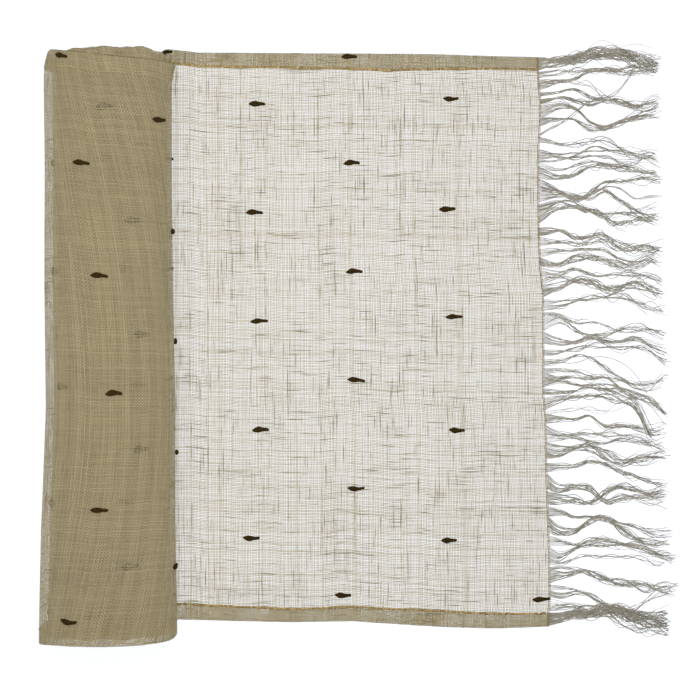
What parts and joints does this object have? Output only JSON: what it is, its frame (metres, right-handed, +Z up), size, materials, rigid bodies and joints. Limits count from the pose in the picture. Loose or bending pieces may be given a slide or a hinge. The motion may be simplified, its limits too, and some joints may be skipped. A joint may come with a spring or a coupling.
{
  "type": "rolled sheer table runner",
  "caption": "Sheer gauze table runner with embroidered seed knots and fringed ends, rolled up from its far end with its near end lying flat.",
  "frame": {"origin": "middle of the bottom of the whole runner's box, on the surface it lies on", "axes": "+Z up from the surface, +X along the runner from the roll towards the fringe, +Y across the runner along the roll"},
  "size_m": [0.3928, 0.3684, 0.062],
  "materials": {
    "flax_gauze": "open plain-woven natural flax gauze, matt and see-through, with slubs",
    "ravelled_flax": "thin wavy flax threads left by ravelling the end, matt",
    "brown_floss": "dark brown embroidery floss in close satin stitches, soft sheen"
  },
  "bodies": {
    "root": {"fringe": "ravelled_flax", "knot_0_5": "brown_floss", "knot_1_0": "brown_floss", "knot_1_1": "brown_floss", "knot_1_2": "brown_floss", "knot_1_3": "brown_floss", "knot_1_4": "brown_floss", "knot_2_0": "brown_floss", "knot_2_1": "brown_floss", "knot_2_2": "brown_floss", "knot_2_3": "brown_floss", "knot_2_4": "brown_floss", "knot_2_5": "brown_floss", "knot_3_0": "brown_floss", "knot_3_1": "brown_floss", "knot_3_2": "brown_floss", "knot_3_3": "brown_floss", "knot_3_4": "brown_floss", "knot_4_0": "brown_floss", "knot_4_1": "brown_floss", "knot_4_2": "brown_floss", "knot_4_3": "brown_floss", "knot_4_4": "brown_floss", "knot_4_5": "brown_floss", "knot_5_0": "brown_floss", "knot_5_1": "brown_floss", "knot_5_2": "brown_floss", "knot_5_3": "brown_floss", "knot_5_4": "brown_floss", "knot_6_0": "brown_floss", "knot_6_1": "brown_floss", "knot_6_2": "brown_floss", "knot_6_3": "brown_floss", "knot_6_4": "brown_floss", "knot_6_5": "brown_floss", "knot_7_0": "brown_floss", "knot_7_1": "brown_floss", "knot_7_2": "brown_floss", "knot_7_3": "brown_floss", "knot_7_4": "brown_floss", "runner_cloth": "flax_gauze"}
  },
  "joints": []
}
